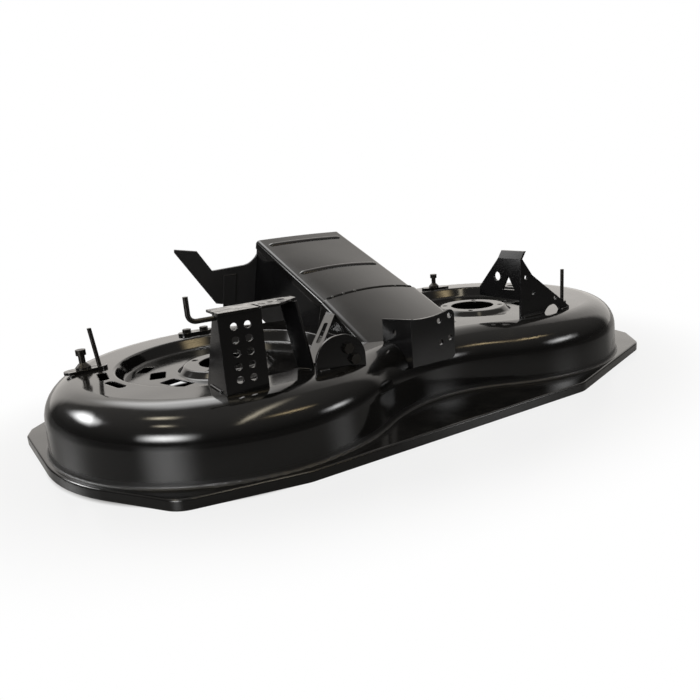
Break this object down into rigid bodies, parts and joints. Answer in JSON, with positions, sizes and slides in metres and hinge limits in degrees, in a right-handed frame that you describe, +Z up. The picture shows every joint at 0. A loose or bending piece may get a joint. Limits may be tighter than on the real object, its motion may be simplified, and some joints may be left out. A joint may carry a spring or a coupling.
{
  "type": "lawn mower deck",
  "caption": "Bare pressed-steel cutting deck for a ride-on mower, with side-by-side blade chambers, dished crowns, a rear discharge chute, lift brackets and belt guides.",
  "frame": {"origin": "middle of the deck's plan, on the ground plane under the rim", "axes": "+X along the long side, through both chambers, +Y to the rear, where the chute opens, +Z up"},
  "size_m": [1.0622, 0.5644, 0.2508],
  "materials": {
    "gloss_black": "gloss black enamel on pressed and folded steel sheet",
    "black_steel": "blackened steel rods, bolts and nuts"
  },
  "bodies": {
    "root": {"deck_shell": "gloss_black", "chute_roof": "gloss_black", "chute_side_left": "gloss_black", "chute_side_right": "gloss_black", "chute_floor": "gloss_black", "chute_wing": "gloss_black", "lift_bracket_right": "gloss_black", "tower_bracket": "gloss_black", "tower_top_plate": "gloss_black", "tower_brace": "gloss_black", "hood_stay": "gloss_black", "centre_bracket": "gloss_black", "hood_lug": "gloss_black", "guide_strip_left": "gloss_black", "guide_strip_right": "gloss_black", "guide_strip_rear": "gloss_black", "tower_hook_rod": "black_steel", "guide_rod_left": "black_steel", "guide_pin_right": "black_steel", "guide_bolt_left": "black_steel", "guide_bolt_right": "black_steel", "lug_bolts": "black_steel", "lug_nuts": "black_steel", "rear_bolts": "black_steel", "guide_nuts": "black_steel"}
  },
  "joints": []
}
